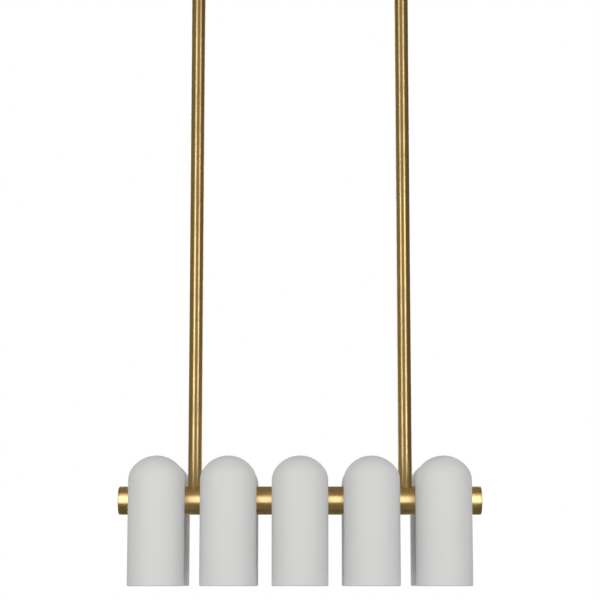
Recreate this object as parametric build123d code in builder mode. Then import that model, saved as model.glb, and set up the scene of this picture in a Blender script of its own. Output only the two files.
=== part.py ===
from build123d import *
import os
from math import atan2, cos, degrees, radians, sin, sqrt

# Linear island pendant: two rows of dome-topped shades on one round brass bar, hung from a long
# ceiling canopy by two stems. A knuckle at the top of each stem lets the whole lamp swing
# front to back, so that it hangs straight under a sloping ceiling.
#
# Frame: origin at the centre of the mounting plate, on the ceiling. +Z is up, +X runs along the
# bar and the front of the lamp faces -Y. All sizes are in millimetres.

# ---------------------------------------------------------------- driving sizes

# Shades
shades_per_row = 5
shade_pitch = 127.0
shade_diameter = 100.0
shade_height = 229.0
dome_rise = 44.0
dome_corner_share = 0.86
shade_wall = 1.5
rim_bead_diameter = 4.5

# Bar
bar_diameter = 50.8
bar_wall = 2.5
bar_above_rim = 153.0
bar_overhang = 73.5
cap_thickness = 4.0
cap_edge_round = 1.0
cap_spigot_length = 12.0
cap_spigot_wall = 2.0

# Saddles between the bar and the shades
saddle_gap = 3.4
saddle_diameter = 26.0

# Stems
stem_diameter = 25.4
rod_wall = 1.5
rod_length = 305.0
rods_per_stem = 3
rod_end_chamfer = 0.4
coupler_length = 40.0
plug_length = 20.0
plug_lift = 1.0
washer_diameter = 22.0
washer_edge = 1.5

# Hollow threaded tubes and their nuts, all one lamp size
nipple_diameter = 10.0
nipple_bore = 7.0
nipple_tail = 2.0
nipple_window = 5.0
nut_across_flats = 14.0
nut_height = 4.0

# Lampholders and their brackets
bracket_thickness = 2.0
bracket_width = 18.0
bracket_foot = 10.0
bracket_rise = 22.0
bracket_overhang = 10.0
bracket_bend = 2.5
bracket_corner = 6.0
holder_length = 42.0
holder_diameter = 27.0
holder_shoulder_diameter = 19.0
holder_shoulder_height = 3.0
holder_taper_height = 8.0
holder_collar_diameter = 31.0
holder_collar_height = 7.0
holder_edge_round = 1.0

# Bulbs
bulb_base_diameter = 13.8
bulb_base_length = 22.0
bulb_neck_diameter = 19.0
bulb_globe_diameter = 45.0
bulb_glass_length = 53.0
bulb_shoulder_angle = 40.0
bulb_neck_gap = 0.8

# Knuckles at the top of the stems
swing_limit = 30.0
tongue_thickness = 12.0
tongue_radius = 10.5
tongue_gap = 1.5
tongue_bore = 5.0
collar_drop = 13.0
collar_height = 10.0
stem_spigot_length = 18.0
yoke_base_height = 9.0
yoke_flange_diameter = 40.0
yoke_flange_height = 3.0
yoke_flange_round = 1.0
yoke_bore = 6.0
pivot_diameter = 6.0
pivot_tip_gap = 5.8
pivot_head_diameter = 9.0
pivot_head_height = 2.0
pivot_head_sink = 2.2
pivot_socket = 3.0
pivot_socket_depth = 1.2

# Canopy and its stiffening plate
canopy_width = 120.0
canopy_depth = 28.0
canopy_wall = 1.5
canopy_edge_round = 3.0
chassis_thickness = 3.0
chassis_width = 70.0

# Mounting plate
plate_thickness = 2.5
plate_overall = 390.0
plate_width = 44.0
plate_corner = 6.0
arm_width = 24.0
arm_inset = 40.0
tab_depth = 20.0
cable_hole_diameter = 30.0
box_slot_spacing = 79.4
box_slot_length = 24.0
box_slot_width = 5.0
anchor_inset = 15.0
anchor_hole_diameter = 6.0

# Small screws
side_screw_diameter = 4.0
side_screw_length = 9.0
side_screw_drop = 11.0
screw_head_diameter = 8.0
screw_head_height = 2.2
screw_slot_width = 1.0
screw_slot_depth = 1.0
earth_screw_from_middle = 34.0

# Terminal block
block_length = 36.0
block_width = 20.0
block_height = 14.0
block_corner = 2.5
block_ways = 3
block_way_pitch = 10.0
block_row_pitch = 10.0
block_well_diameter = 5.0
block_well_depth = 7.0
block_wire_diameter = 4.0

# Clearances, each on the radius or on one side
running_clearance = 0.05
thread_clearance = 0.05
hole_clearance = 0.2
slide_clearance = 0.3
seat_gap = 0.1
bulb_clearance = 0.2

# ---------------------------------------------------------------- worked-out sizes

shade_radius = shade_diameter / 2
bar_radius = bar_diameter / 2
bar_bore_radius = bar_radius - bar_wall
stem_radius = stem_diameter / 2
rod_bore_radius = stem_radius - rod_wall
nipple_radius = nipple_diameter / 2
nipple_hole_radius = nipple_radius + hole_clearance
nut_bore_radius = nipple_radius + thread_clearance

# Places along the bar and across it
pair_x = [(i - (shades_per_row - 1) / 2) * shade_pitch for i in range(shades_per_row)]
stem_x = (pair_x[-1] + pair_x[-2]) / 2
bar_length = pair_x[-1] - pair_x[0] + 2 * bar_overhang
row_y = bar_radius + saddle_gap + shade_radius
row_names = {"front": -1, "back": 1}
stem_sides = {"left": -1, "right": 1}

# Levels, from the ceiling down
plate_under_z = -plate_thickness
canopy_under_z = -canopy_depth
chassis_z = canopy_under_z + canopy_wall
chassis_top_z = chassis_z + chassis_thickness
yoke_top_z = chassis_top_z + nut_height + nipple_tail
slot_floor_z = canopy_under_z - yoke_base_height
pivot_z = slot_floor_z - tongue_gap - tongue_radius
collar_top_z = pivot_z - collar_drop
rod_top_z = collar_top_z - collar_height
bar_top_z = rod_top_z - rods_per_stem * rod_length
bar_z = bar_top_z - bar_radius
rim_z = bar_z - bar_above_rim
shoulder_z = rim_z + shade_height - dome_rise
bead_radius = rim_bead_diameter / 2
bead_z = rim_z + bead_radius

# The feet of the yoke's ears meet the stem's collar just past the swing limit
limit = radians(swing_limit)
ear_drop = (collar_drop - stem_radius * sin(limit)) / cos(limit) - slide_clearance

# Inside a shade, with the shade's axis at x = y = 0 and the bar on the +Y side
shade_bore_radius = shade_radius - shade_wall
bracket_face_y = shade_bore_radius - seat_gap - bracket_thickness
bracket_top_z = bar_z + bracket_rise
bracket_under_z = bracket_top_z - bracket_thickness
holder_foot_z = bracket_under_z - holder_length
holder_top_z = bracket_top_z + nut_height + nipple_tail
neck_z = holder_foot_z - bulb_neck_gap
bulb_foot_z = neck_z - bulb_glass_length

# Inside the bar, under each stem
washer_flat_z = bar_z + sqrt(bar_bore_radius**2 - (washer_diameter / 2) ** 2) - washer_edge

# Inside the canopy
canopy_bore_width = canopy_width - 2 * canopy_wall
arm_x = stem_x - arm_inset
anchor_x = plate_overall / 2 - anchor_inset

os.makedirs("parts", exist_ok=True)


def save(part, name):
    """Label a finished piece and write it as its own file."""
    part.label = name
    export_step(part, f"parts/{name}.step")


def save_copies(master, name, places):
    """Write copies of one small piece as a group of separate solids."""
    with BuildPart() as group:
        with Locations(*places):
            add(master)
    save(group.part, name)


def across_bar(x, y, z, side):
    """A place whose own Z axis points away from the bar, towards the front or the back."""
    return Location((x, y, z), (-90 * side, 0, 0))


def shade_place(x, side):
    """The place of one shade: its hole and bracket face the bar."""
    return Location((x, side * row_y, 0), (0, 0, 180 if side > 0 else 0))


# ---------------------------------------------------------------- shades


# The dome is a corner arc tangent to the wall, and a crown arc tangent to the corner arc, centred
# on the shade's axis. The corner's centre stands out from the axis and above the crown's centre.
dome_corner_radius = dome_corner_share * dome_rise
crown_lift = dome_rise - dome_corner_radius
corner_out = shade_radius - dome_corner_radius
corner_up = (corner_out**2 - crown_lift**2) / (2 * crown_lift)
crown_radius = dome_rise + corner_up
crown_angle = degrees(atan2(corner_up, corner_out))


def dome_outline(inset):
    """Half section of the shade's outer face, or of its inner face where inset is the wall."""
    wall = Polyline((0, bead_z), (shade_radius - inset, bead_z), (shade_radius - inset, shoulder_z))
    corner_centre = (corner_out, shoulder_z)
    crown_centre = (0, shoulder_z - corner_up)
    CenterArc(corner_centre, dome_corner_radius - inset, 0, crown_angle)
    crown = CenterArc(crown_centre, crown_radius - inset, crown_angle, 90 - crown_angle)
    Line(crown @ 1, wall @ 0)


with BuildPart() as shade:
    with BuildSketch(Plane.XZ):
        with BuildLine():
            dome_outline(0)
        make_face()
        with BuildLine():
            dome_outline(shade_wall)
        make_face(mode=Mode.SUBTRACT)
        with Locations((shade_radius - bead_radius, bead_z)):
            Circle(bead_radius)
    revolve(axis=Axis.Z)
    with Locations(across_bar(0, shade_radius, bar_z, 1)):
        Hole(nipple_hole_radius, depth=shade_radius / 2)

for row, side in row_names.items():
    for number, x in enumerate(pair_x, start=1):
        save(shade.part.moved(shade_place(x, side)), f"shade_{row}_{number}")

# ---------------------------------------------------------------- bar

bar_section = Plane(origin=(0, 0, bar_z), x_dir=(0, 1, 0), z_dir=(1, 0, 0))
tube_end = bar_length / 2 - cap_thickness

with BuildPart() as crossbar:
    with BuildSketch(bar_section):
        Circle(bar_radius)
        Circle(bar_bore_radius, mode=Mode.SUBTRACT)
    extrude(amount=tube_end, both=True)
    with Locations(*[across_bar(x, 0, bar_z, 1) for x in pair_x]):
        Hole(nipple_hole_radius)
    with Locations((-stem_x, 0, bar_top_z), (stem_x, 0, bar_top_z)):
        Hole(nipple_hole_radius, depth=2 * bar_wall)

save(crossbar.part, "crossbar")

with BuildPart() as end_cap:
    with BuildSketch(bar_section.offset(tube_end)):
        Circle(bar_radius)
    extrude(amount=cap_thickness)
    fillet(end_cap.edges().group_by(Axis.X)[-1], radius=cap_edge_round)
    with BuildSketch(bar_section.offset(tube_end)):
        Circle(bar_bore_radius - seat_gap)
        Circle(bar_bore_radius - seat_gap - cap_spigot_wall, mode=Mode.SUBTRACT)
    extrude(amount=-cap_spigot_length)

save(end_cap.part, "end_cap_right")
save(end_cap.part.mirror(Plane.YZ), "end_cap_left")

# ---------------------------------------------------------------- fixing the shades to the bar

# The face that each shade's nut seats on, and the reach of the tube past it, from the bar's axis
nut_seat_y = row_y - bracket_face_y
nipple_reach = nut_seat_y + nut_height + nipple_tail

with BuildPart() as cross_nipple:
    with BuildSketch(Plane.XZ):
        Circle(nipple_radius)
        Circle(nipple_bore / 2, mode=Mode.SUBTRACT)
    extrude(amount=nipple_reach, both=True)
    Hole(nipple_window / 2)

save_copies(cross_nipple.part, "cross_nipples", [(x, 0, bar_z) for x in pair_x])

# A saddle is hollowed on one side to the bar and on the other to the shade
with BuildPart() as saddle:
    with BuildSketch(Plane.XZ):
        Circle(saddle_diameter / 2)
        Circle(nipple_hole_radius, mode=Mode.SUBTRACT)
    extrude(amount=row_y)
    with BuildSketch(Plane.YZ):
        Circle(bar_radius + seat_gap)
    extrude(amount=saddle_diameter, both=True, mode=Mode.SUBTRACT)
    with BuildSketch(Plane.XY):
        with Locations((0, -row_y)):
            Circle(shade_radius + seat_gap)
    extrude(amount=saddle_diameter, both=True, mode=Mode.SUBTRACT)

save_copies(
    saddle.part,
    "shade_saddles",
    [Location((x, 0, bar_z), (0, 0, turn)) for x in pair_x for turn in (0, 180)],
)

# ---------------------------------------------------------------- lampholders and bulbs

shade_places = [shade_place(x, side) for side in row_names.values() for x in pair_x]

with BuildPart() as lampholder_bracket:
    with BuildSketch(Plane.YZ):
        with BuildLine():
            Polyline(
                (shade_radius, bar_z - bracket_foot),
                (shade_radius, bracket_top_z),
                (-bracket_overhang, bracket_top_z),
                (-bracket_overhang, bracket_under_z),
                (bracket_face_y, bracket_under_z),
                (bracket_face_y, bar_z - bracket_foot),
                close=True,
            )
        make_face()
    extrude(amount=bracket_width / 2, both=True)
    bends = lampholder_bracket.edges().filter_by(Axis.X)
    fillet(bends.sort_by_distance((0, bracket_face_y, bracket_under_z))[0], radius=bracket_bend)
    with BuildSketch(Plane.XY.offset(bar_z - bracket_foot)):
        Circle(shade_bore_radius - seat_gap)
    extrude(amount=bracket_foot + bracket_rise, mode=Mode.INTERSECT)
    fillet(lampholder_bracket.edges().filter_by(Axis.Z).group_by(Axis.Y)[0], radius=bracket_corner)
    with Locations(across_bar(0, shade_radius, bar_z, 1)):
        Hole(nipple_hole_radius, depth=shade_radius / 2)
    with Locations((0, 0, bracket_top_z)):
        Hole(nipple_hole_radius, depth=2 * bracket_thickness)

save_copies(lampholder_bracket.part, "lampholder_brackets", shade_places)

with BuildPart() as lampholder:
    with BuildSketch(Plane.XZ):
        with BuildLine():
            taper_top_z = bracket_under_z - holder_shoulder_height
            taper_foot_z = taper_top_z - holder_taper_height
            collar_z = holder_foot_z + holder_collar_height
            Polyline(
                (0, holder_top_z),
                (nipple_radius, holder_top_z),
                (nipple_radius, bracket_under_z),
                (holder_shoulder_diameter / 2, bracket_under_z),
                (holder_shoulder_diameter / 2, taper_top_z),
                (holder_diameter / 2, taper_foot_z),
                (holder_diameter / 2, collar_z),
                (holder_collar_diameter / 2, collar_z),
                (holder_collar_diameter / 2, holder_foot_z),
                (0, holder_foot_z),
                close=True,
            )
        make_face()
    revolve(axis=Axis.Z)
    collar_edges = lampholder.edges().filter_by(GeomType.CIRCLE).sort_by(lambda edge: edge.radius)[-2:]
    fillet(collar_edges, radius=holder_edge_round)
    with Locations((0, 0, holder_foot_z)):
        Hole(bulb_base_diameter / 2 + bulb_clearance, depth=bulb_base_length + bulb_clearance)
    with Locations((0, 0, holder_top_z)):
        Hole(nipple_bore / 2, depth=holder_length)

with BuildPart() as bulb:
    with BuildSketch(Plane.XZ):
        with BuildLine():
            globe_radius = bulb_globe_diameter / 2
            globe_z = bulb_foot_z + globe_radius
            globe = CenterArc((0, globe_z), globe_radius, -90, 90 + bulb_shoulder_angle)
            neck = TangentArc(globe @ 1, (bulb_neck_diameter / 2, neck_z), tangent=globe % 1)
            Polyline(
                neck @ 1,
                (bulb_base_diameter / 2, neck_z),
                (bulb_base_diameter / 2, neck_z + bulb_base_length),
                (0, neck_z + bulb_base_length),
                globe @ 0,
            )
        make_face()
    revolve(axis=Axis.Z)

for row, side in row_names.items():
    for number, x in enumerate(pair_x, start=1):
        place = shade_place(x, side)
        save(lampholder.part.moved(place), f"lampholder_{row}_{number}")
        save(bulb.part.moved(place), f"bulb_{row}_{number}")

# ---------------------------------------------------------------- stems

with BuildPart() as rod:
    with BuildSketch(Plane.XY.offset(-rod_length)):
        Circle(stem_radius)
        Circle(rod_bore_radius, mode=Mode.SUBTRACT)
    extrude(amount=rod_length)
    outer_rims = rod.edges().filter_by(GeomType.CIRCLE).sort_by(lambda edge: edge.radius)[-2:]
    chamfer(outer_rims, length=rod_end_chamfer)

# The lowest rod is cut at its foot to sit on the round bar
with BuildPart() as foot_rod:
    with BuildSketch(Plane.XY.offset(-rod_length - bar_radius)):
        Circle(stem_radius)
        Circle(rod_bore_radius, mode=Mode.SUBTRACT)
    extrude(amount=rod_length + bar_radius)
    top_rim = foot_rod.edges().group_by(Axis.Z)[-1].sort_by(lambda edge: edge.radius)[-1]
    chamfer(top_rim, length=rod_end_chamfer)
    with BuildSketch(Plane.YZ):
        with Locations((0, -rod_length - bar_radius)):
            Circle(bar_radius + seat_gap)
    extrude(amount=stem_diameter, both=True, mode=Mode.SUBTRACT)

# The rods of each stem are numbered from the top
for name, side in stem_sides.items():
    for number in range(1, rods_per_stem + 1):
        master = foot_rod if number == rods_per_stem else rod
        place = Location((side * stem_x, 0, rod_top_z - (number - 1) * rod_length))
        save(master.part.moved(place), f"rod_{name}_{number}")

with BuildPart() as rod_coupler:
    with BuildSketch(Plane.XY.offset(-coupler_length / 2)):
        Circle(rod_bore_radius - thread_clearance)
        Circle(nipple_bore / 2, mode=Mode.SUBTRACT)
    extrude(amount=coupler_length)

save_copies(
    rod_coupler.part,
    "rod_couplers",
    [
        (side * stem_x, 0, rod_top_z - joint * rod_length)
        for side in stem_sides.values()
        for joint in range(1, rods_per_stem)
    ],
)

stem_feet = [(side * stem_x, 0, 0) for side in stem_sides.values()]

with BuildPart() as rod_plug:
    with BuildSketch(Plane.XY.offset(bar_top_z + plug_lift)):
        Circle(rod_bore_radius - thread_clearance)
        Circle(nut_bore_radius, mode=Mode.SUBTRACT)
    extrude(amount=plug_length)

save_copies(rod_plug.part, "rod_plugs", stem_feet)

stem_nipple_foot_z = washer_flat_z - nut_height - nipple_tail
with BuildPart() as stem_nipple:
    with BuildSketch(Plane.XY.offset(stem_nipple_foot_z)):
        Circle(nipple_radius)
        Circle(nipple_bore / 2, mode=Mode.SUBTRACT)
    extrude(amount=bar_top_z + plug_lift + plug_length - stem_nipple_foot_z)

save_copies(stem_nipple.part, "stem_nipples", stem_feet)

with BuildPart() as saddle_washer:
    with BuildSketch(Plane.XY.offset(washer_flat_z)):
        Circle(washer_diameter / 2)
        Circle(nipple_hole_radius, mode=Mode.SUBTRACT)
    extrude(amount=bar_top_z - washer_flat_z)
    with BuildSketch(bar_section):
        Circle(bar_bore_radius - seat_gap)
    extrude(amount=washer_diameter, both=True, mode=Mode.INTERSECT)

save_copies(saddle_washer.part, "saddle_washers", stem_feet)

# ---------------------------------------------------------------- lamp nuts

with BuildPart() as nut:
    with BuildSketch():
        RegularPolygon(nut_across_flats / 2, 6, major_radius=False)
        Circle(nut_bore_radius, mode=Mode.SUBTRACT)
    extrude(amount=nut_height)

shade_nut_places = [
    across_bar(x, side * nut_seat_y, bar_z, side) for side in row_names.values() for x in pair_x
]
holder_nut_places = [
    Location((x, side * row_y, bracket_top_z)) for side in row_names.values() for x in pair_x
]
stem_nut_places = [
    Location((side * stem_x, 0, washer_flat_z), (180, 0, 0)) for side in stem_sides.values()
]
save_copies(nut.part, "m10_nuts", shade_nut_places + holder_nut_places + stem_nut_places)
save_copies(nut.part, "yoke_nuts", [(side * stem_x, 0, chassis_top_z) for side in stem_sides.values()])

# ---------------------------------------------------------------- knuckles

slot_width = tongue_thickness + 2 * slide_clearance
ear_foot_z = pivot_z - ear_drop
ear_sides = [Location((side * stem_radius, 0, pivot_z), (0, 90 * side, 0)) for side in (-1, 1)]

with BuildPart() as yoke:
    with BuildSketch(Plane.XY.offset(ear_foot_z)):
        Circle(stem_radius)
    extrude(amount=canopy_under_z - ear_foot_z)
    with BuildSketch(Plane.XY.offset(canopy_under_z - yoke_flange_height)):
        Circle(yoke_flange_diameter / 2)
    extrude(amount=yoke_flange_height)
    flange_rim = yoke.edges().filter_by(GeomType.CIRCLE).sort_by(lambda edge: edge.radius)[-2:]
    fillet(flange_rim.sort_by(Axis.Z)[0], radius=yoke_flange_round)
    with BuildSketch(Plane.XY.offset(canopy_under_z)):
        Circle(nipple_radius)
    extrude(amount=yoke_top_z - canopy_under_z)
    with BuildSketch(Plane.XZ):
        with Locations((0, (ear_foot_z + slot_floor_z) / 2)):
            Rectangle(slot_width, slot_floor_z - ear_foot_z)
    extrude(amount=stem_diameter, both=True, mode=Mode.SUBTRACT)
    with Locations((0, 0, yoke_top_z)):
        Hole(yoke_bore / 2, depth=yoke_top_z - slot_floor_z)
    with Locations(*ear_sides):
        CounterBoreHole(
            pivot_diameter / 2 + running_clearance,
            pivot_head_diameter / 2 + running_clearance,
            pivot_head_sink,
            depth=stem_radius,
        )

with BuildPart() as tongue:
    with BuildSketch(Plane.YZ):
        with Locations((0, pivot_z)):
            Circle(tongue_radius)
        with Locations((0, (pivot_z + collar_top_z) / 2)):
            Rectangle(2 * tongue_radius, pivot_z - collar_top_z)
    extrude(amount=tongue_thickness / 2, both=True)
    with BuildSketch(Plane.XY.offset(rod_top_z)):
        Circle(stem_radius)
    extrude(amount=collar_height)
    collar_rims = tongue.edges().filter_by(GeomType.CIRCLE).sort_by(lambda edge: edge.radius)[-2:]
    chamfer(collar_rims, length=rod_end_chamfer)
    with BuildSketch(Plane.XY.offset(rod_top_z - stem_spigot_length)):
        Circle(rod_bore_radius - thread_clearance)
    extrude(amount=stem_spigot_length)
    Hole(tongue_bore / 2)
    with Locations(ear_sides[1]):
        Hole(pivot_diameter / 2 + running_clearance)

for name, side in stem_sides.items():
    place = Location((side * stem_x, 0, 0))
    save(yoke.part.moved(place), f"swivel_yoke_{name}")
    save(tongue.part.moved(place), f"swivel_tongue_{name}")

# One screw, with its head's seat at the origin and its head on the +Z side
pivot_shoulder = stem_radius - pivot_head_sink - pivot_tip_gap / 2
with BuildPart() as pivot_screw:
    with BuildSketch():
        Circle(pivot_head_diameter / 2)
    extrude(amount=pivot_head_height)
    with BuildSketch():
        Circle(pivot_diameter / 2)
    extrude(amount=-pivot_shoulder)
    with BuildSketch(Plane.XY.offset(pivot_head_height)):
        RegularPolygon(pivot_socket / 2, 6, major_radius=False)
    extrude(amount=-pivot_socket_depth, mode=Mode.SUBTRACT)

head_seat = stem_radius - pivot_head_sink
save_copies(
    pivot_screw.part,
    "swivel_screws",
    [
        Location((stem * stem_x + side * head_seat, 0, pivot_z), (0, 90 * side, 0))
        for stem in stem_sides.values()
        for side in (-1, 1)
    ],
)

# ---------------------------------------------------------------- canopy

side_screw_places = [
    across_bar(stem * arm_x, side * canopy_width / 2, -side_screw_drop, side)
    for stem in stem_sides.values()
    for side in (-1, 1)
]

with BuildPart() as canopy_cover:
    with BuildSketch(Plane.XY.offset(canopy_under_z)):
        SlotCenterToCenter(2 * stem_x, canopy_width)
    extrude(amount=canopy_depth)
    fillet(canopy_cover.edges().group_by(Axis.Z)[0], radius=canopy_edge_round)
    offset(amount=-canopy_wall, openings=canopy_cover.faces().sort_by(Axis.Z)[-1])
    with Locations(*[(side * stem_x, 0, chassis_z) for side in stem_sides.values()]):
        Hole(nipple_hole_radius, depth=2 * canopy_wall)
    with Locations(*side_screw_places):
        Hole(side_screw_diameter / 2 + hole_clearance, depth=2 * canopy_wall)

save(canopy_cover.part, "canopy_cover")

with BuildPart() as canopy_chassis:
    with BuildSketch(Plane.XY.offset(chassis_z)):
        SlotCenterToCenter(2 * stem_x, chassis_width)
        with Locations((-stem_x, 0), (stem_x, 0)):
            Circle(nipple_hole_radius, mode=Mode.SUBTRACT)
    extrude(amount=chassis_thickness)

save(canopy_chassis.part, "canopy_chassis")

# ---------------------------------------------------------------- mounting plate

tab_outer_y = canopy_bore_width / 2 - slide_clearance
tab_middle_y = tab_outer_y - plate_thickness / 2

with BuildPart() as ceiling_bracket:
    with BuildSketch(Plane.XY.offset(plate_under_z)):
        RectangleRounded(plate_overall, plate_width, plate_corner)
        with Locations((-arm_x, 0), (arm_x, 0)):
            Rectangle(arm_width, 2 * tab_outer_y)
        Circle(cable_hole_diameter / 2, mode=Mode.SUBTRACT)
        with Locations((-box_slot_spacing / 2, 0), (box_slot_spacing / 2, 0)):
            SlotOverall(box_slot_length, box_slot_width, mode=Mode.SUBTRACT)
        with Locations((-anchor_x, 0), (anchor_x, 0)):
            Circle(anchor_hole_diameter / 2, mode=Mode.SUBTRACT)
        with Locations((arm_x, earth_screw_from_middle)):
            Circle(side_screw_diameter / 2 + thread_clearance, mode=Mode.SUBTRACT)
    extrude(amount=plate_thickness)
    with BuildSketch(Plane.XY.offset(-tab_depth)):
        with Locations(*[(x, y) for x in (-arm_x, arm_x) for y in (-tab_middle_y, tab_middle_y)]):
            Rectangle(arm_width, plate_thickness)
    extrude(amount=tab_depth)
    fillet(ceiling_bracket.edges().filter_by(Axis.Y).group_by(Axis.Z)[0], radius=plate_corner)
    with Locations(*side_screw_places):
        Hole(side_screw_diameter / 2 + thread_clearance, depth=side_screw_length)

save(ceiling_bracket.part, "ceiling_bracket")

# ---------------------------------------------------------------- screws and terminal block


def round_head_screw(length):
    """A slotted screw whose head stands on z = 0."""
    with BuildPart() as screw:
        with BuildSketch():
            Circle(screw_head_diameter / 2)
        extrude(amount=screw_head_height)
        fillet(screw.edges().group_by(Axis.Z)[-1], radius=screw_head_height / 2)
        with BuildSketch():
            Circle(side_screw_diameter / 2)
        extrude(amount=-length)
        with BuildSketch(Plane.XY.offset(screw_head_height)):
            Rectangle(screw_head_diameter, screw_slot_width)
        extrude(amount=-screw_slot_depth, mode=Mode.SUBTRACT)
    return screw.part


save_copies(round_head_screw(side_screw_length), "canopy_screws", side_screw_places)
earth_place = Location((arm_x, earth_screw_from_middle, plate_under_z), (180, 0, 0))
save_copies(round_head_screw(plate_thickness), "earth_screw", [earth_place])

with BuildPart() as terminal_block:
    with BuildSketch(Plane.XY.offset(chassis_top_z)):
        RectangleRounded(block_length, block_width, block_corner)
    extrude(amount=block_height)
    with Locations((0, 0, chassis_top_z + block_height)):
        with GridLocations(block_way_pitch, block_row_pitch, block_ways, 2):
            Hole(block_well_diameter / 2, depth=block_well_depth)
    with Locations(Location((0, 0, chassis_top_z + block_height - block_well_depth), (90, 0, 0))):
        with GridLocations(block_way_pitch, 0, block_ways, 1):
            Hole(block_wire_diameter / 2)

save(terminal_block.part, "terminal_block")
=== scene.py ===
import math

import bpy
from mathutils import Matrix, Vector


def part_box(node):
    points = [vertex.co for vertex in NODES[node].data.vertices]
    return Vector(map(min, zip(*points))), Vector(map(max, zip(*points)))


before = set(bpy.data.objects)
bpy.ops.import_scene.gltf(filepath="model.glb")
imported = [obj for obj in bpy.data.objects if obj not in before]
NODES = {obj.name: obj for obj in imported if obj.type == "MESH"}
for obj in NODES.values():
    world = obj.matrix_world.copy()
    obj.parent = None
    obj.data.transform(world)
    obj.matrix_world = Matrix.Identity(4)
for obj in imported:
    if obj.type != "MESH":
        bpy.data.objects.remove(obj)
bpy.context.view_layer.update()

# ---------------------------------------------------------------- heights read from the frame

bar_low, bar_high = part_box("crossbar")
BAR_Z = ((bar_low + bar_high) / 2).z
RIM_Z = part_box("shade_back_1")[0].z

# ---------------------------------------------------------------- materials

# The sockets of a Mix node that carry colours: they share their names with its other sockets
MIX_COLOUR_A, MIX_COLOUR_B, MIX_COLOUR_RESULT = 6, 7, 2

# Most of a noise's values lie in this span
NOISE_SPAN = (0.3, 0.7)


class Nodes:
    """A node tree under construction: adds nodes and links them in few words."""

    def __init__(self, owner, shader):
        owner.use_nodes = True
        self.tree = owner.node_tree
        self.shader = self.tree.nodes[shader]

    def node(self, kind, **values):
        made = self.tree.nodes.new(kind)
        for key, value in values.items():
            setattr(made, key, value)
        return made

    def link(self, source, target):
        self.tree.links.new(source, target)

    def set(self, **values):
        """Sets the shader's own sockets, written with _ for a space."""
        for key, value in values.items():
            self.shader.inputs[key.replace("_", " ")].default_value = value

    def place(self, scale=(1, 1, 1), shift=(0, 0, 0)):
        """Object coordinates in metres, stretched by scale."""
        where = self.node("ShaderNodeTexCoord")
        mapping = self.node("ShaderNodeMapping")
        mapping.inputs["Location"].default_value = shift
        mapping.inputs["Scale"].default_value = scale
        self.link(where.outputs["Object"], mapping.inputs["Vector"])
        return mapping.outputs["Vector"]

    def noise(self, vector, scale=1.0, detail=3.0, rough=0.5):
        made = self.node("ShaderNodeTexNoise")
        made.inputs["Scale"].default_value = scale
        made.inputs["Detail"].default_value = detail
        made.inputs["Roughness"].default_value = rough
        self.link(vector, made.inputs["Vector"])
        return made.outputs["Fac"]

    def span(self, value, low, high, from_low=0.0, from_high=1.0):
        """Maps a value onto the span from low to high."""
        made = self.node("ShaderNodeMapRange")
        for key, number in (
            ("From Min", from_low),
            ("From Max", from_high),
            ("To Min", low),
            ("To Max", high),
        ):
            made.inputs[key].default_value = number
        self.link(value, made.inputs["Value"])
        return made.outputs["Result"]

    def tint(self, factor, colour_a, colour_b):
        """A colour from colour_a, where the factor is 0, to colour_b, where it is 1."""
        made = self.node("ShaderNodeMix", data_type="RGBA")
        made.inputs[MIX_COLOUR_A].default_value = (*colour_a, 1)
        made.inputs[MIX_COLOUR_B].default_value = (*colour_b, 1)
        self.link(factor, made.inputs["Factor"])
        return made.outputs[MIX_COLOUR_RESULT]

    def calc(self, operation, first, second):
        """A Math node. Each operand is a number or another node's output."""
        made = self.node("ShaderNodeMath", operation=operation)
        for socket, operand in zip(made.inputs, (first, second)):
            if isinstance(operand, float):
                socket.default_value = operand
            else:
                self.link(operand, socket)
        return made.outputs[0]

    def bump(self, height, distance, strength):
        """A normal that is bumped by the height, whose full step is distance metres."""
        made = self.node("ShaderNodeBump")
        made.inputs["Strength"].default_value = strength
        made.inputs["Distance"].default_value = distance
        self.link(height, made.inputs["Height"])
        return made.outputs["Normal"]


class Look(Nodes):
    """A material under construction."""

    def __init__(self, name):
        self.material = bpy.data.materials.new(name)
        super().__init__(self.material, "Principled BSDF")

    def colour(self, output):
        self.link(output, self.shader.inputs["Base Color"])

    def roughness(self, output):
        self.link(output, self.shader.inputs["Roughness"])

    def normal(self, output):
        self.link(output, self.shader.inputs["Normal"])

    def surface(self, output):
        self.link(output, self.tree.nodes["Material Output"].inputs["Surface"])


BRASS_PALE = (0.82, 0.61, 0.29)
BRASS_DEEP = (0.76, 0.55, 0.24)
LACQUER = {"Coat_Weight": 0.8, "Coat_Roughness": 0.22, "Coat_IOR": 1.5}
ANISOTROPY = 0.9
HANDLED_SHIFT = (3.1, 1.7, 0.4)  # keeps the wear apart from the clouds of colour


def satin_brass(name, stretch, axis=None, turn=0.25, rough=(0.20, 0.34)):
    """Lacquered brass with fine brush marks, which run along the axes whose stretch is small.

    With an axis the highlights draw out too: the shader's tangent goes round that axis, and
    turn rotates it, where 0.25 is a right angle.
    """
    look = Look(name)
    look.set(Metallic=1.0, **LACQUER)
    if axis:
        look.set(Anisotropic=ANISOTROPY, Anisotropic_Rotation=turn)
        round_axis = look.node("ShaderNodeTangent", direction_type="RADIAL", axis=axis)
        look.link(round_axis.outputs["Tangent"], look.shader.inputs["Tangent"])
    brush = look.noise(look.place(scale=stretch), scale=1.0, detail=4.0, rough=0.6)
    cloud = look.noise(look.place(), scale=9.0, detail=2.0)
    handled = look.noise(look.place(shift=HANDLED_SHIFT), scale=24.0, detail=3.0)
    look.colour(look.tint(cloud, BRASS_DEEP, BRASS_PALE))
    look.roughness(look.span(handled, *rough, *NOISE_SPAN))
    look.normal(look.bump(brush, distance=0.000006, strength=0.25))
    return look.material


SPECKLE = 0.02  # how far the paint's colour strays, as a share
PAINT_ROUGHNESS = (0.50, 0.66)


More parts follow.
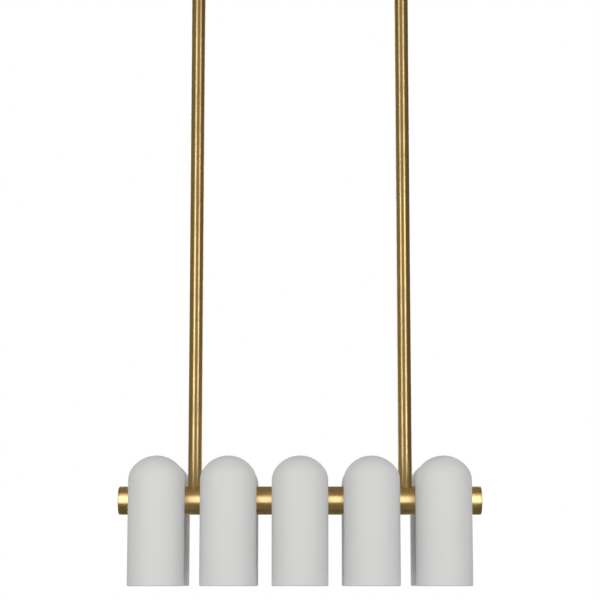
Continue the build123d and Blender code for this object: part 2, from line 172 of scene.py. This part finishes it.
def painted(name, colour):
    """Matt powder coat with a fine orange-peel skin."""
    look = Look(name)
    pebble = look.noise(look.place(), scale=900.0, detail=2.0)
    broad = look.noise(look.place(), scale=14.0, detail=2.0)
    pale = tuple(min(1.0, c * (1 + SPECKLE)) for c in colour)
    dark = tuple(c * (1 - SPECKLE) for c in colour)
    look.colour(look.tint(broad, dark, pale))
    look.roughness(look.span(pebble, *PAINT_ROUGHNESS, *NOISE_SPAN))
    look.normal(look.bump(pebble, distance=0.00006, strength=0.5))
    look.set(Specular_IOR_Level=0.4)
    return look.material


ZINC_DARK = (0.54, 0.55, 0.57)
ZINC_PALE = (0.61, 0.62, 0.63)
ZINC_ROUGHNESS = (0.34, 0.43)
FLAKES_PER_METRE = 260.0
ROLLING_STRETCH = (40, 1800, 1800)


def zinc(name):
    """Zinc-plated sheet: a faint spangle and rolling marks."""
    look = Look(name)
    look.set(Metallic=1.0)
    flakes = look.node("ShaderNodeTexVoronoi")
    flakes.inputs["Scale"].default_value = FLAKES_PER_METRE
    look.link(look.place(), flakes.inputs["Vector"])
    grey = look.node("ShaderNodeSeparateColor")
    look.link(flakes.outputs["Color"], grey.inputs["Color"])
    look.colour(look.tint(grey.outputs["Red"], ZINC_DARK, ZINC_PALE))
    look.roughness(look.span(grey.outputs["Green"], *ZINC_ROUGHNESS))
    rolling = look.noise(look.place(scale=ROLLING_STRETCH), detail=2.0)
    look.normal(look.bump(rolling, distance=0.00002, strength=0.4))
    return look.material


PLASTIC_SHADE = 0.97  # the darker colour, as a share of the paler one
PLASTIC_SPREAD = 0.06  # how far the roughness strays


def plastic(name, colour, rough):
    """Moulded plastic or ceramic with a faint texture."""
    look = Look(name)
    grain = look.noise(look.place(), scale=1400.0, detail=2.0)
    cloud = look.noise(look.place(), scale=60.0, detail=1.0)
    look.colour(look.tint(cloud, tuple(c * PLASTIC_SHADE for c in colour), colour))
    look.roughness(look.span(grain, rough - PLASTIC_SPREAD, rough + PLASTIC_SPREAD, *NOISE_SPAN))
    look.normal(look.bump(grain, distance=0.00003, strength=0.4))
    return look.material


OPAL_DARK = (0.86, 0.85, 0.82)
OPAL_PALE = (0.90, 0.89, 0.87)
OPAL_ROUGHNESS = (0.16, 0.22)
OPAL_DEPTH = (0.004, 0.004, 0.0035)  # how far light spreads under the surface, in metres


def opal(name):
    """Opal glass: white and a little translucent, with a gloss on top."""
    look = Look(name)
    cloud = look.noise(look.place(), scale=50.0, detail=1.0)
    look.colour(look.tint(cloud, OPAL_DARK, OPAL_PALE))
    look.roughness(look.span(cloud, *OPAL_ROUGHNESS))
    look.set(Subsurface_Weight=0.3, Subsurface_Radius=OPAL_DEPTH)
    return look.material


BRUSHED = (0.32, 0.46)
BAR_ROUGHNESS = (0.26, 0.36)
CAP_ROUGHNESS = (0.34, 0.44)
stem_brass = satin_brass("stem_brass", stretch=(30, 30, 1800), axis="Z", rough=BRUSHED)
bar_brass = satin_brass("bar_brass", stretch=(1800, 30, 30), rough=BAR_ROUGHNESS)
cap_brass = satin_brass("cap_brass", stretch=(1800, 300, 300), axis="X", rough=CAP_ROUGHNESS)
cover_brass = satin_brass(
    "cover_brass", stretch=(14, 1500, 1500), axis="X", turn=0.0, rough=BRUSHED
)
turned = satin_brass("turned_brass", stretch=(60, 60, 2600))
shade_paint = painted("shade_paint", (0.655, 0.655, 0.652))
zinc_steel = zinc("zinc_steel")
holder_plastic = plastic("lampholder_plastic", (0.80, 0.80, 0.77), rough=0.5)
terminal_plastic = plastic("terminal_plastic", (0.74, 0.73, 0.68), rough=0.42)
opal_glass = opal("opal_glass")

# The first start that fits a node's name gives its material. The last row takes the rest: nuts,
# nipples, washers, the ceiling plate and the stiffening plate
BY_START = (
    ("rod_couplers", zinc_steel),
    ("rod_plugs", zinc_steel),
    ("rod_", stem_brass),
    ("crossbar", bar_brass),
    ("end_cap", cap_brass),
    ("canopy_cover", cover_brass),
    ("canopy_screws", turned),
    ("shade_saddles", turned),
    ("swivel_", turned),
    ("earth_screw", turned),
    ("shade_", shade_paint),
    ("lampholder_brackets", zinc_steel),
    ("lampholder_", holder_plastic),
    ("bulb_", opal_glass),
    ("terminal_block", terminal_plastic),
    ("", zinc_steel),
)
for name, node in NODES.items():
    dress = next(material for start, material in BY_START if name.startswith(start))
    node.data.materials.clear()
    node.data.materials.append(dress)

# ---------------------------------------------------------------- camera

# The picture seems to be taken level from about rim height, with nearly half a frame of shift,
# which would push the object out of the other views. This camera stands at about rim height too,
# but looks up, and a long lens keeps the stems nearly parallel
IMAGE = 600  # pixels
SENSOR = 36.0  # mm
FOCAL_PX = 1800.0
PITCH = math.radians(8.2)
SHIFT_Y = 0.035
BAR_PIXEL = 500.6  # the row where the bar's axis shows
SCALE_PX = 552.5  # pixels for a metre at the bar

# place the camera so that the bar's axis shows at that row and scale
up_over_forward = (IMAGE / 2 + IMAGE * SHIFT_Y - BAR_PIXEL) / FOCAL_PX
forward = FOCAL_PX / SCALE_PX
up = up_over_forward * forward
behind = forward * math.cos(PITCH) - up * math.sin(PITCH)
above = forward * math.sin(PITCH) + up * math.cos(PITCH)

lens = bpy.data.cameras.new("camera")
camera = bpy.data.objects.new("camera", lens)
bpy.context.scene.collection.objects.link(camera)
bpy.context.scene.camera = camera
lens.sensor_width = SENSOR
lens.lens = SENSOR * FOCAL_PX / IMAGE
lens.shift_y = SHIFT_Y
camera.location = (0, -behind, BAR_Z - above)
camera.rotation_euler = (math.radians(90) + PITCH, 0, 0)

# ---------------------------------------------------------------- floor and background

FLOOR_DROP = 0.75
FLOOR_REACH = 60.0
FLOOR_Z = RIM_Z - FLOOR_DROP
FLOOR_DARK = (0.87, 0.87, 0.87)
FLOOR_PALE = (0.89, 0.89, 0.89)

# Seen directly, the floor is part paint and part white background: the paint has its full share
# up to the near distance and none past the far one, in metres from the part's origin
PAINT_SHARE = 0.6
PAINT_NEAR, PAINT_FAR = 0.5, 3.0

AMBIENT = 0.53  # how strongly the world lights the object
WHITE = 1.0  # how strongly it shows where it is seen directly


def seen_directly(nodes):
    """1 for camera, glossy and transmission rays, which see the white background, else 0."""
    rays = nodes.node("ShaderNodeLightPath")
    total = rays.outputs["Is Camera Ray"]
    for kind in ("Is Glossy Ray", "Is Transmission Ray"):
        total = nodes.calc("MAXIMUM", total, rays.outputs[kind])
    return total


def slab(name, corners, material):
    """A flat sheet of the stage."""
    mesh = bpy.data.meshes.new(name)
    mesh.from_pydata(corners, [], [tuple(range(len(corners)))])
    made = bpy.data.objects.new(name, mesh)
    bpy.context.scene.collection.objects.link(made)
    made.data.materials.append(material)
    return made


def floor_material():
    """White paint that keeps the lamp's shadow near it and goes over into the white background."""
    look = Look("floor_paint")
    look.colour(look.tint(look.noise(look.place(), scale=3.0), FLOOR_DARK, FLOOR_PALE))
    look.set(Roughness=0.9, Specular_IOR_Level=0.0)
    white = look.node("ShaderNodeEmission")
    away = look.node("ShaderNodeVectorMath", operation="LENGTH")
    look.link(look.place(), away.inputs[0])
    paint = look.span(away.outputs["Value"], PAINT_SHARE, 0.0, PAINT_NEAR, PAINT_FAR)
    rest = look.calc("SUBTRACT", 1.0, paint)
    white_share = look.calc("MULTIPLY", seen_directly(look), rest)
    mixed = look.node("ShaderNodeMixShader")
    look.link(white_share, mixed.inputs[0])
    look.link(look.shader.outputs[0], mixed.inputs[1])
    look.link(white.outputs[0], mixed.inputs[2])
    look.surface(mixed.outputs[0])
    return look.material


slab(
    "floor",
    [(x * FLOOR_REACH, y * FLOOR_REACH, FLOOR_Z) for x, y in ((-1, -1), (1, -1), (1, 1), (-1, 1))],
    floor_material(),
)

# ---------------------------------------------------------------- lamps


def panel(name, location, target, width, height, radiance):
    """A softbox that faces target. A radiance of 1 shows as white in a mirror."""
    light = bpy.data.lights.new(name, "AREA")
    light.shape = "RECTANGLE"
    light.size, light.size_y = width, height
    light.energy = radiance * width * height * math.pi
    lamp = bpy.data.objects.new(name, light)
    bpy.context.scene.collection.objects.link(lamp)
    lamp.location = location
    aim = Vector(target) - Vector(location)
    lamp.rotation_euler = aim.to_track_quat("-Z", "Y").to_euler()
    lamp.visible_camera = False
    return lamp


# Two tall softboxes stand either side of the camera, close to the lamp, with a dark gap between
BOX_Z = BAR_Z + 0.40
SIDE_BOX = {"width": 0.37, "height": 1.8, "radiance": 2.0}
SIDE_PLACES = (("left", -0.64, -0.88), ("right", 0.66, -0.92))
SIDE_AIM = 0.1  # how far out they aim, as a share of how far out they stand

# Two wider ones behind light the back row and the brass from behind
BACK_PANEL = {"width": 0.8, "height": 2.6, "radiance": 1.5}
BACK_X, BACK_Y = 1.0, 2.1

# The bar lies between the shades, where the side boxes don't reach: a strip of its own lights it
STRIP = {"width": 1.1, "height": 0.95, "radiance": 1.65}
STRIP_Y, STRIP_Z = -1.0, BAR_Z + 0.16

# A weak one from the front lifts the shadows and stays out of the brass
FILL = {"width": 1.0, "height": 1.4, "radiance": 0.8}
FILL_Y, FILL_Z = -2.2, BAR_Z + 0.2

for way, x, y in SIDE_PLACES:
    panel("side_box_" + way, (x, y, BOX_Z), (x * SIDE_AIM, 0, BOX_Z), **SIDE_BOX)
    back_x = math.copysign(BACK_X, x)
    panel("back_panel_" + way, (back_x, BACK_Y, BOX_Z), (0, 0, BOX_Z), **BACK_PANEL)

strip = panel("strip", (0, STRIP_Y, STRIP_Z), (0, 0, STRIP_Z), **STRIP)
lit_by_strip = bpy.data.collections.new("lit_by_strip")
for name in ("crossbar", "end_cap_left", "end_cap_right"):
    lit_by_strip.objects.link(NODES[name])
strip.light_linking.receiver_collection = lit_by_strip

fill = panel("fill", (0, FILL_Y, FILL_Z), (0, 0, BAR_Z), **FILL)
fill.visible_glossy = False

# ---------------------------------------------------------------- dark cards for the brass

# Each card is the wall, floor or lid of a box round the lamp. Its colour is what the brass
# reflects on that side
CARD_LOW, CARD_HIGH = FLOOR_Z + 0.01, 1.6
SIDE, FRONT, BACK = 2.6, -3.4, 2.6
CARD_SHADE = 0.9  # the darker colour, as a share of the paler one
WALL_CARDS = (
    ("card_left", -SIDE, FRONT, -SIDE, BACK, (0.21, 0.20, 0.14)),
    ("card_right", SIDE, FRONT, SIDE, BACK, (0.14, 0.125, 0.085)),
    ("card_front", -SIDE, FRONT, SIDE, FRONT, (0.38, 0.33, 0.24)),
    ("card_back", -SIDE, BACK, SIDE, BACK, (0.16, 0.13, 0.09)),
)
LEVEL_CARDS = (
    ("card_top", CARD_HIGH, (0.24, 0.19, 0.13)),
    ("card_foot", CARD_LOW, (0.13, 0.11, 0.07)),
)


def card_material(name, colour):
    """Card that glows in its own colour, whatever the light on it."""
    look = Look(name)
    glow = look.node("ShaderNodeEmission")
    darker = tuple(c * CARD_SHADE for c in colour)
    look.link(look.tint(look.noise(look.place(), scale=2.0), darker, colour), glow.inputs["Color"])
    look.surface(glow.outputs[0])
    return look.material


def card(name, corners, colour):
    """A card that shows only in reflections, as a photographer sets it round brass."""
    made = slab(name, corners, card_material(name, colour))
    made.visible_camera = False
    made.visible_diffuse = False
    made.visible_shadow = False


for name, x0, y0, x1, y1, colour in WALL_CARDS:
    card(
        name,
        [(x0, y0, CARD_LOW), (x1, y1, CARD_LOW), (x1, y1, CARD_HIGH), (x0, y0, CARD_HIGH)],
        colour,
    )
for name, z, colour in LEVEL_CARDS:
    card(name, [(-SIDE, FRONT, z), (SIDE, FRONT, z), (SIDE, BACK, z), (-SIDE, BACK, z)], colour)

# ---------------------------------------------------------------- world

world = bpy.data.worlds.new("world")
bpy.context.scene.world = world
sky = Nodes(world, "Background")
sky.link(sky.span(seen_directly(sky), AMBIENT, WHITE), sky.shader.inputs["Strength"])
sky.set(Color=(1, 1, 1, 1))

bpy.context.scene.view_settings.view_transform = "Standard"
